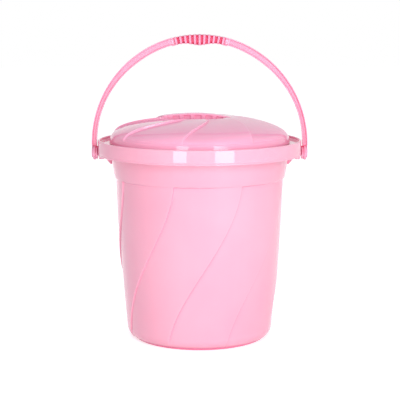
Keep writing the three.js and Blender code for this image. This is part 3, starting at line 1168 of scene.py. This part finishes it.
    def well(self, side: Side, growth: float, inner: float, floor: float) -> Solid:
        """Builds a finger well, with a round lip too where it isn't grown.

        Args:
            side: Behind the bar or in front of it.
            growth: How much the well is grown all round.
            inner: Where its straight side stands.
            floor: Height of its floor.

        Returns:
            The closed solid that cuts the well.
        """
        plan = self.well_outline(side, growth, inner)
        edge, outward, share = plan[:, :2], plan[:, 2:4], plan[:, 4]
        corner = self.well_floor_round
        rings = [np.array([[*edge.mean(axis=0), floor]])]
        for turn in np.radians([0, 22, 45, 68, 90]):
            place = edge - outward * (corner * (1 - math.sin(turn)) * share)[:, None]
            level = np.full(len(place), floor + corner * (1 - math.cos(turn)))
            rings.append(np.column_stack([place, level]))
        if growth == 0:
            lip = self.well_lip_round
            for turn in np.radians([0, 15, 30, 45, 60, 72, 82]):
                place = edge + outward * (lip * (1 - math.cos(turn)) * share)[:, None]
                sunk = lip * (1 - math.sin(turn))
                level = np.array([self.top_height(x, y) for x, y in place]) - sunk
                rings.append(np.column_stack([place, np.maximum(level, floor + corner)]))
        top = rings[-1].copy()
        top[:, 2] = self.crown_height + OVERSHOOT
        rings += [top, np.array([[*edge.mean(axis=0), self.crown_height + OVERSHOOT]])]
        return solid_piece("finger_well", rings)

    def pocket(self, index: int, side: Side) -> Solid:
        """Builds one pocket in the side of the bar.

        Args:
            index: Its place along the bar.
            side: Behind the bar or in front of it.

        Returns:
            The closed solid that cuts the pocket.
        """
        middle = self.pocket_centre + (index - (self.pockets - 1) / 2) * self.pocket_pitch
        left, right = middle - self.pocket_width / 2, middle + self.pocket_width / 2
        outline = [
            (left, self.well_floor),
            (right, self.well_floor),
            (right, self.bar_height(right) - self.bar_lip),
            (left, self.bar_height(left) - self.bar_lip),
        ]
        outline = rounded_outline(outline, 1.2)
        half, corner = self.bar_half_width, self.pocket_round
        deep = half - self.pocket_depth
        flare = -0.5
        steps = [
            (deep, corner),
            (deep + corner, 0.0),
            (half - 0.4, 0.0),
            (half + 0.1, flare),
            (half + 1, flare),
        ]
        levels = [(side.value * out, inset) for out, inset in steps]
        return prism("pocket", outline, levels, along_y)

    def build(self) -> Solid:
        """Builds the finished lid mesh."""
        wall = self.bucket.wall
        behind = self.bar_half_width - self.pocket_depth - self.pocket_wall
        lid = self.dome(inset=0.0, steps=64)
        hollow = self.dome(inset=wall, steps=30)
        for side in Side:
            floor = self.well_floor
            shape_with(lid, self.well(side, 0.0, self.bar_half_width - 0.6, floor), Work.CUT)
        shape_with(lid, self.bar(0.0, self.bar_half_width), Work.JOIN)
        shape_with(hollow, self.bar(wall, behind), Work.JOIN)
        for side in Side:
            grown = self.well(side, wall, behind, self.well_floor - wall)
            shape_with(hollow, grown, Work.CUT)
            for index in range(self.pockets):
                shape_with(lid, self.pocket(index, side), Work.CUT)
        shape_with(lid, hollow, Work.CUT)
        soften(lid, sharp_over=32)
        return lid


def bezier_point(ends: Outline, t: float) -> tuple[float, float]:
    """Point on a cubic curve through four control points."""
    weights = ((1 - t) ** 3, 3 * t * (1 - t) ** 2, 3 * t * t * (1 - t), t**3)
    return tuple(sum(w * end[i] for w, end in zip(weights, ends)) for i in range(2))


def rounded_outline(
    corners: Outline, radius: float, steps: int = 4, hold: float = 0.12
) -> list[tuple[float, float]]:
    """Rounds every corner of a closed outline.

    Args:
        corners: The outline's corners in order.
        radius: Reach of each round along its two edges.
        steps: Points per round, less one.
        hold: How far past each round one more point keeps the edge straight.

    Returns:
        The outline's points.
    """
    points = np.array(corners)
    path: list[tuple[float, float]] = []
    for i in range(len(points)):
        here = points[i]
        ends = []
        for other in (points[i - 1], points[(i + 1) % len(points)]):
            run = np.linalg.norm(other - here)
            ends.append(here + (other - here) / run * min(radius, 0.45 * run))
        held = [end + (end - here) * hold / radius for end in ends]
        arc = bend(ends[0], here, ends[1], steps)
        path += [tuple(point) for point in (held[0], *arc, held[1])]
    return path


@dataclass
class CarryHandle:
    """The handle: I-section strap, ribbed palm grip, eyes and snap pins in one moulding."""

    bucket: SwirlBucket
    arc_rise: float = 12.5
    arc_reach: float = 9.2
    arc_crown: float = 1.8
    foot_thickness: float = 7.5
    thickness: float = 10.8
    width: float = 11.0
    flange: float = 1.5
    recess: float = 2.3
    beam_round: float = 0.45
    thin_until: float = 12.0
    thickens_over: float = 48.0
    ribs: int = 11
    rib_pitch: float = 7.2
    rib_width: float = 3.2
    rib_slope: float = 0.4
    grip_height: float = 16.6
    grip_end_height: float = 12.0
    grip_width: float = 17.0
    grip_end_width: float = 14.6
    palm_length: float = 17.0
    groove_side: float = 4.2
    groove_edge: float = 0.45
    groove_narrows: float = 0.6
    frame_round: float = 0.4
    grip_fullness: float = 0.5
    pocket_frame: float = 1.1
    collar_length: float = 5.0
    collar_growth: float = 1.4
    eye_radius: float = 11.0
    eye_boss_radius: float = 9.8
    eye_clearance: float = 0.4
    eye_plate: float = 3.4
    eye_outer_boss: float = 2.0
    outer_boss_radius: float = 8.0
    pin_radius: float = 4.0
    pin_head: float = 5.2
    head_clearance: float = 0.3
    head_length: float = 4.6
    section_points: int = 84
    strap_steps: int = 90

    @property
    def arc_height(self) -> float:
        """Height of the middle of the arc."""
        return self.bucket.pivot_height + self.arc_rise

    def strap_edge(self, angle: float) -> float:
        """Outer radius of the strap at an angle from +X."""
        foot = min(angle, 180 - angle)
        crown = self.arc_crown * float(ease(foot / 90))
        return self.bucket.rim_radius + self.arc_reach + crown

    def strap_thickness(self, angle: float) -> float:
        """Thickness of the strap at an angle from +X."""
        foot = min(angle, 180 - angle)
        grown = float(ease((foot - self.thin_until) / self.thickens_over))
        return mix(self.foot_thickness, self.thickness, grown)

    def strap_radius(self, angle: float) -> float:
        """Middle radius of the strap at an angle from +X."""
        return self.strap_edge(angle) - self.strap_thickness(angle) / 2

    def beam_section(self, thickness: float, width: float) -> np.ndarray:
        """Draws an I-shaped section with soft edges.

        Args:
            thickness: Its size outwards from the arc.
            width: Its size sideways.

        Returns:
            The section's points, outwards and sideways from its middle.
        """
        half, side = thickness / 2, width / 2
        inner, sunk = half - self.flange, side - self.recess
        quarter = [(half, side), (inner, side), (inner, sunk)]
        back = quarter[::-1]
        corners = [
            *quarter,
            *[(-out, across) for out, across in back],
            *[(-out, -across) for out, across in quarter],
            *[(out, -across) for out, across in back],
        ]
        return np.array(rounded_outline(corners, self.beam_round))

    def oval_section(self, thickness: float, width: float, fullness: float = 0.7) -> np.ndarray:
        """Draws an oval section with as many points as the beam has.

        Args:
            thickness: Its size outwards from the arc.
            width: Its size sideways.
            fullness: 1 is an ellipse, and less comes nearer to a box.

        Returns:
            The section's points, outwards and sideways from its middle.
        """
        turns = np.radians(np.linspace(6, 366, self.section_points, endpoint=False))
        out = np.sign(np.cos(turns)) * np.abs(np.cos(turns)) ** fullness * thickness / 2
        across = np.sign(np.sin(turns)) * np.abs(np.sin(turns)) ** fullness * width / 2
        return np.stack([out, across], axis=1)

    def grip_section(self, height: float, width: float, sunk: float) -> np.ndarray:
        """Draws the grip's section, its sides sunk into a pocket between two edge frames.

        Args:
            height: Height of a rib.
            width: Width of a rib.
            sunk: 0 on a rib and 1 in the pocket beside it.

        Returns:
            The section's points, outwards and sideways from its middle.
        """
        frame = self.groove_edge * sunk
        narrower = width - self.groove_narrows * sunk
        section = self.oval_section(height - 2 * frame, narrower, self.grip_fullness)
        inside = height / 2 - frame - self.pocket_frame - np.abs(section[:, 0])
        deep = self.groove_side * sunk * ease(inside / self.frame_round + 0.5)
        section[:, 1] -= np.sign(section[:, 1]) * np.minimum(deep, np.abs(section[:, 1]) - 1)
        return section

    def arc_ring(self, angle: float, radius: float, section: np.ndarray) -> Ring:
        """Stands a section on the arc.

        Args:
            angle: Angle from +X, in degrees.
            radius: Radius of the section's middle.
            section: Points outwards and sideways from its middle.

        Returns:
            The ring.
        """
        c, s = math.cos(math.radians(angle)), math.sin(math.radians(angle))
        reach = radius + section[:, 0]
        return np.stack([reach * c, section[:, 1], self.arc_height + reach * s], axis=1)

    def grip_rings(self, outer: float, degrees_per_mm: float) -> list[Ring]:
        """Makes the rings of the ribbed palm grip.

        Args:
            outer: Outer radius of the arc at its crown.
            degrees_per_mm: Turn along the arc for each millimetre.

        Returns:
            The rings, from the +X end.
        """
        end = (self.ribs - 1) / 2 * self.rib_pitch + self.rib_width / 2
        rings = []
        for along in np.arange(end, -end - 1e-6, -self.rib_slope / 2):
            phase = abs((along / self.rib_pitch + 0.5) % 1 - 0.5) * self.rib_pitch
            sunk = float(ease((phase - self.rib_width / 2 + 0.1) / (1.5 * self.rib_slope)))
            swell = math.exp(-((along / self.palm_length) ** 2))
            height = mix(self.grip_end_height, self.grip_height, swell)
            width = mix(self.grip_end_width, self.grip_width, swell)
            section = self.grip_section(height, width, sunk)
            rings.append(self.arc_ring(90 - along * degrees_per_mm, outer - height / 2, section))
        return rings

    def strap(self) -> Solid:
        """Builds the strap with its grip.

        Returns:
            The closed solid, without the eyes.
        """
        outer = self.strap_edge(90)
        degrees_per_mm = 1 / math.radians(outer)
        grip_half = (self.ribs - 1) / 2 * self.rib_pitch + self.rib_width / 2 + self.rib_slope
        grip_end = 90 - grip_half * degrees_per_mm
        collar_end = grip_end - self.collar_length * degrees_per_mm

        def beam_ring(angle: float, growth: float) -> Ring:
            """Ring of the I-section at an angle, grown all round."""
            thickness = self.strap_thickness(angle) + growth
            section = self.beam_section(thickness, self.width + growth)
            return self.arc_ring(angle, self.strap_radius(angle) - growth / 2, section)

        steps = [(a, 0.0) for a in np.linspace(0, collar_end - 0.5, self.strap_steps)]
        steps += [(collar_end - 0.15, self.collar_growth * 0.7), (collar_end, self.collar_growth)]
        steps += [(grip_end - 0.12, self.collar_growth), (grip_end, self.collar_growth * 0.6)]
        right = [beam_ring(angle, growth) for angle, growth in steps]
        left = [beam_ring(180 - angle, growth) for angle, growth in reversed(steps)]
        feet = []
        for side in Side:
            small = self.oval_section(self.foot_thickness - 2, self.width - 3)
            across = side.value * (self.strap_radius(0) + small[:, 0])
            level = np.full(len(small), self.bucket.pivot_height)
            feet.append(np.stack([across, small[:, 1], level], axis=1))
        grip = self.grip_rings(outer, degrees_per_mm)
        return solid_piece("carry_handle", capped([feet[0], *right, *grip, *left, feet[1]]))

    def eye_and_pin(self) -> Solid:
        """Builds the eye at the strap's foot and the pin that snaps through the ear.

        Returns:
            The closed solid on the +X side.
        """
        face = self.bucket.rim_radius + self.eye_clearance
        middle = self.strap_radius(0)
        head = self.bucket.rim_radius - self.bucket.ear_back - self.head_clearance
        plate = self.eye_plate / 2
        corners = [
            Corner(0.0, head - self.head_length),
            Corner(self.pin_head - 1.6, head - self.head_length, 0.8),
            Corner(self.pin_head, head - self.head_length * 0.4, 0.6),
            Corner(self.pin_head, head, 0.3),
            Corner(self.pin_radius, head, 0.2),
            Corner(self.pin_radius, face, 0.3),
            Corner(self.eye_boss_radius, face, 0.5),
            Corner(self.eye_boss_radius, middle - plate, 0.3),
            Corner(self.eye_radius, middle - plate, 0.6),
            Corner(self.eye_radius, middle + plate, 0.8),
            Corner(self.outer_boss_radius, middle + plate, 0.5),
            Corner(self.outer_boss_radius - 0.4, middle + plate + self.eye_outer_boss, 0.8),
            Corner(0.0, middle + plate + self.eye_outer_boss),
        ]
        section = rounded_section(corners, longest=6.0, arc_steps=4)
        profile = [(float(radius), float(x)) for radius, x, _ in section]
        return turned_across_x("eye", profile, self.bucket.pivot_height)

    def build(self) -> Solid:
        """Builds the finished handle mesh."""
        handle = self.strap()
        eye = self.eye_and_pin()
        shape_with(handle, mirrored(eye), Work.JOIN)
        shape_with(handle, eye, Work.JOIN)
        soften(handle, sharp_over=34)
        return handle


# Studio


def aimed(name: str, data: bpy.types.ID, place: Point, aim: Point) -> Solid:
    """Adds a lamp or camera that looks at a point.

    Args:
        name: The object's name.
        data: The lamp or camera.
        place: Where it stands, in metres.
        aim: The point, in metres.

    Returns:
        The new object.
    """
    made = linked(name, data)
    made.location = place
    toward = Vector(aim) - Vector(place)
    made.rotation_euler = toward.to_track_quat("-Z", "Y").to_euler()
    return made


@dataclass(frozen=True)
class SoftPanel:
    """A rectangular lamp.

    Attributes:
        name: The lamp's name.
        centre: Its middle, in metres.
        aim: The point it faces, in metres.
        width: Width in metres.
        height: Height in metres.
        radiance: Brightness of its face, where 1 is white.
        seen_in_gloss: Whether glossy faces reflect it.
    """

    name: str
    centre: Point
    aim: Point
    width: float
    height: float
    radiance: float
    seen_in_gloss: bool

    def build(self) -> None:
        """Adds the lamp to the scene."""
        data = bpy.data.lights.new(self.name, "AREA")
        data.shape = "RECTANGLE"
        data.size, data.size_y = self.width, self.height
        data.energy = self.radiance * math.pi * self.width * self.height
        lamp = aimed(self.name, data, self.centre, self.aim)
        lamp.visible_camera = False
        lamp.visible_glossy = self.seen_in_gloss


@dataclass(frozen=True)
class Studio:
    """White room with soft lamps and the camera at the photograph's angle."""

    camera_place: Point = (0.0, -1.7797, 0.4791)
    camera_aim: Point = (0.0, 0.0, 0.203)
    lens: float = 108.81
    shift: float = 0.001
    fill: float = 0.56
    fill_colour: Point = (0.97, 0.92, 1.0)
    floor_radii: Point = (0.4, 2.0, 9.0)
    sensor: float = 36.0
    sight: float = 60.0
    panels: tuple[SoftPanel, ...] = (
        SoftPanel("left_panel", (-0.572, -1.5, 0.27), (-0.572, 0.0, 0.27), 0.431, 0.5, 7.0, True),
        SoftPanel("right_panel", (0.786, -1.5, 0.27), (0.786, 0.0, 0.27), 0.69, 0.5, 7.0, True),
        SoftPanel("key", (0.7, -1.9, 0.9), (0.0, 0.0, 0.2), 1.0, 0.9, 5.1, False),
        SoftPanel("back_light", (-0.7, 1.9, 0.9), (0.0, 0.0, 0.2), 1.0, 0.9, 3.6, False),
    )

    def world(self) -> None:
        """White surroundings, dimmer as light on the object than as seen."""
        world = bpy.data.worlds.new("white_room")
        bpy.context.scene.world = world
        board = NodeBoard(world)
        nodes = board.tree.nodes
        board.feed(
            nodes["Background"], {"Color": (*self.fill_colour, 1.0), "Strength": self.fill}
        )
        fill = nodes["Background"].outputs[0]
        seen = board.add("Background", {"Color": (1.0, 1.0, 1.0, 1.0), "Strength": 1.0})
        shown = board.add("MixShader", {0: board.seen_rays(), 1: fill, 2: seen})
        board.feed(nodes["World Output"], {"Surface": shown})

    def floor(self) -> Solid:
        """Builds the pale floor, which shows white and keeps the object's soft shadow.

        Returns:
            The floor.
        """
        turns = np.linspace(0, 2 * math.pi, 96, endpoint=False)
        unit = np.stack([np.cos(turns), np.sin(turns), 0 * turns], axis=1) / MM
        floor = solid_piece("floor", [np.zeros((1, 3)), *(unit * r for r in self.floor_radii)])
        made = bpy.data.materials.new("pale_floor")
        board = NodeBoard(made)
        nodes = board.tree.nodes
        place = board.add("TexCoord", {}, "Object")
        tone = board.spread(board.noise(place, 60.0, 2.0), span=(0.0, 1.0), onto=(0.80, 0.84))
        shader = nodes["Principled BSDF"]
        board.feed(shader, {"Base Color": tone, "Roughness": 0.9})
        dark = board.add("Emission", {"Strength": 0.0})
        glow = board.add("Emission", {"Strength": 0.6})
        gate = board.add("MixShader", {0: board.seen_rays(), 1: dark, 2: glow})
        both = board.add("AddShader", {0: shader.outputs[0], 1: gate})
        board.feed(nodes["Material Output"], {"Surface": both})
        floor.data.materials.append(made)
        return floor

    def camera(self) -> None:
        """Adds the camera at the photograph's angle."""
        data = bpy.data.cameras.new("photo_camera")
        data.lens, data.sensor_width = self.lens, self.sensor
        data.shift_x = self.shift
        data.clip_end = self.sight
        camera = aimed("photo_camera", data, self.camera_place, self.camera_aim)
        bpy.context.scene.camera = camera

    def build(self) -> None:
        """Builds the room, lamps and camera."""
        self.world()
        self.camera()
        self.floor()
        for panel in self.panels:
            panel.build()
        bpy.context.scene.view_settings.view_transform = "Standard"


@dataclass(frozen=True)
class Dressing:
    """How a finished piece joins the model.

    Attributes:
        node: The solid it stands for.
        body: The body it moves with.
        finish: Its material.
    """

    node: str
    body: str
    finish: GlossyPlastic

    def dress(self, piece: Solid) -> None:
        """Gives a piece its finish and body, and hides the solid it stands for.

        Args:
            piece: The finished mesh object.
        """
        piece.data.materials.clear()
        piece.data.materials.append(self.finish.material())
        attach(piece, self.body)
        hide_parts(self.node)
        LOG.info("%s: %d faces for %s", piece.name, len(piece.data.polygons), self.node)


# In each finish, deep is both a random darker tone and the painted shade in hollows, and pale is a
# painted highlight on sharp edges.
BODY_FINISH = GlossyPlastic(
    name="bucket_pink",
    pink=(0.97, 0.455, 0.58),
    deep=(0.86, 0.17, 0.34),
    pale=(0.98, 0.66, 0.80),
    edge_highlight_share=0.6,
    hollow_shade_from=0.97,
    hollow_shade_to=0.45,
    hollow_shade_share=0.75,
)
LID_FINISH = GlossyPlastic(
    name="lid_pink",
    pink=(0.97, 0.44, 0.61),
    deep=(0.94, 0.20, 0.36),
    pale=(0.98, 0.70, 0.82),
    edge_highlight_share=0.7,
    streak_axis=(14, 14, 14),
)
HANDLE_FINISH = GlossyPlastic(
    name="handle_pink",
    pink=(0.93, 0.42, 0.58),
    deep=(0.85, 0.085, 0.22),
    pale=(0.97, 0.54, 0.68),
    edge_highlight_share=0.15,
    roughness=0.2,
    streak_axis=(20, 60, 20),
    hollow_shade_to=0.45,
    hollow_shade_share=0.95,
)


def main() -> None:
    """Builds the pieces in order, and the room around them."""
    logging.basicConfig(level=logging.INFO, format="%(message)s")
    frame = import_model()
    bucket = SwirlBucket()
    Dressing("bucket", "bucket", BODY_FINISH).dress(bucket.build())
    Dressing("lid", "bucket", LID_FINISH).dress(PetalLid(bucket).build())
    Dressing("bail", "bail", HANDLE_FINISH).dress(CarryHandle(bucket).build())
    Studio().build()


if __name__ == "__main__":
    main()
